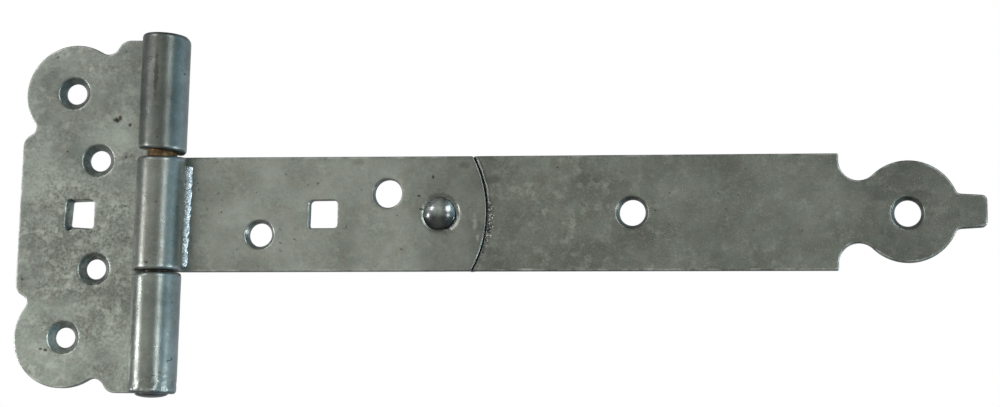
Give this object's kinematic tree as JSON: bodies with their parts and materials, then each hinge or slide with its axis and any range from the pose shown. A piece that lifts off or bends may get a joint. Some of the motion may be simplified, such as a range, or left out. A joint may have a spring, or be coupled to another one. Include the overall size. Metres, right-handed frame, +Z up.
{
  "type": "t hinge",
  "caption": "T hinge: a wing plate with two rolled knuckles on a fixed pin, and a riveted two-piece strap with a round finial.",
  "frame": {"origin": "on the back of the wing plate at half its height, halfway from the square hole to the slot; the pin's axis is at x = 0.0176 m, y = -0.0083 m", "axes": "+X along the strap from the plate to the tip, +Z up along the pin, -Y out of the woodwork to the side that the knuckles stand on"},
  "size_m": [0.338, 0.0212, 0.128],
  "materials": {
    "plate_zinc": "bright zinc plate over sheet steel, dulled and spotted",
    "eye_zinc": "bright zinc plate over sheet steel, dulled and spotted",
    "strap_zinc": "zinc plate over sheet steel, duller than the plate",
    "rivet_zinc": "bright zinc plate over a steel rivet",
    "weld_zinc": "rough weld metal under bright zinc",
    "pin_steel": "bare steel, brown with old grease"
  },
  "bodies": {
    "frame": {"frame_plate": "plate_zinc", "hinge_pin": "pin_steel"},
    "strap": {"eye_strap": "eye_zinc", "eye_weld": "weld_zinc", "long_strap": "strap_zinc", "strap_rivet": "rivet_zinc"}
  },
  "joints": [
    {"name": "strap_swing", "type": "hinge", "parent": "frame", "child": "strap", "pos_m": [0.0176, -0.0083, 0], "axis": [0, 0, -1], "range_deg": [-90, 180]}
  ]
}
